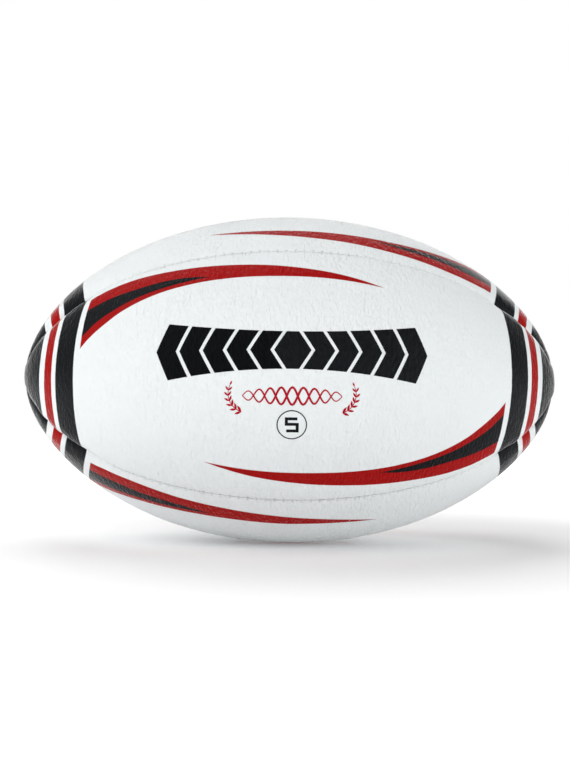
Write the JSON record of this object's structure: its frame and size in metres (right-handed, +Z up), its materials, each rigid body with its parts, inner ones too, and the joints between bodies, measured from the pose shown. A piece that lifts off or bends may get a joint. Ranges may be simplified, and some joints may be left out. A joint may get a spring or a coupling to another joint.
{
  "type": "rugby ball",
  "caption": "Oval four-panel rugby ball with sewn seams, lined cover panels, an inflated bladder and a recessed needle valve.",
  "frame": {"origin": "centre of the ball, halfway between its two tips on the long axis", "axes": "+X along the long axis, +Z up with the ball lying level on its side, front panel facing -Y and the valve on the back panel at +Y"},
  "size_m": [0.2998, 0.1827, 0.183],
  "materials": {
    "cover": "satin",
    "lining": "matte",
    "seam_thread": "matte",
    "bladder": "satin",
    "patch": "matte",
    "valve": "matte",
    "valve_insert": "satin"
  },
  "bodies": {
    "root": {"back_panel": "cover", "back_outer_ply": "lining", "back_inner_ply": "lining", "top_panel": "cover", "top_outer_ply": "lining", "top_inner_ply": "lining", "front_panel": "cover", "front_outer_ply": "lining", "front_inner_ply": "lining", "bottom_panel": "cover", "bottom_outer_ply": "lining", "bottom_inner_ply": "lining", "top_back_seam_thread": "seam_thread", "front_top_seam_thread": "seam_thread", "bottom_front_seam_thread": "seam_thread", "back_bottom_seam_thread": "seam_thread", "bladder": "bladder", "balance_patch": "patch", "valve_patch": "patch", "valve_housing": "valve", "valve_insert": "valve_insert"}
  },
  "joints": []
}
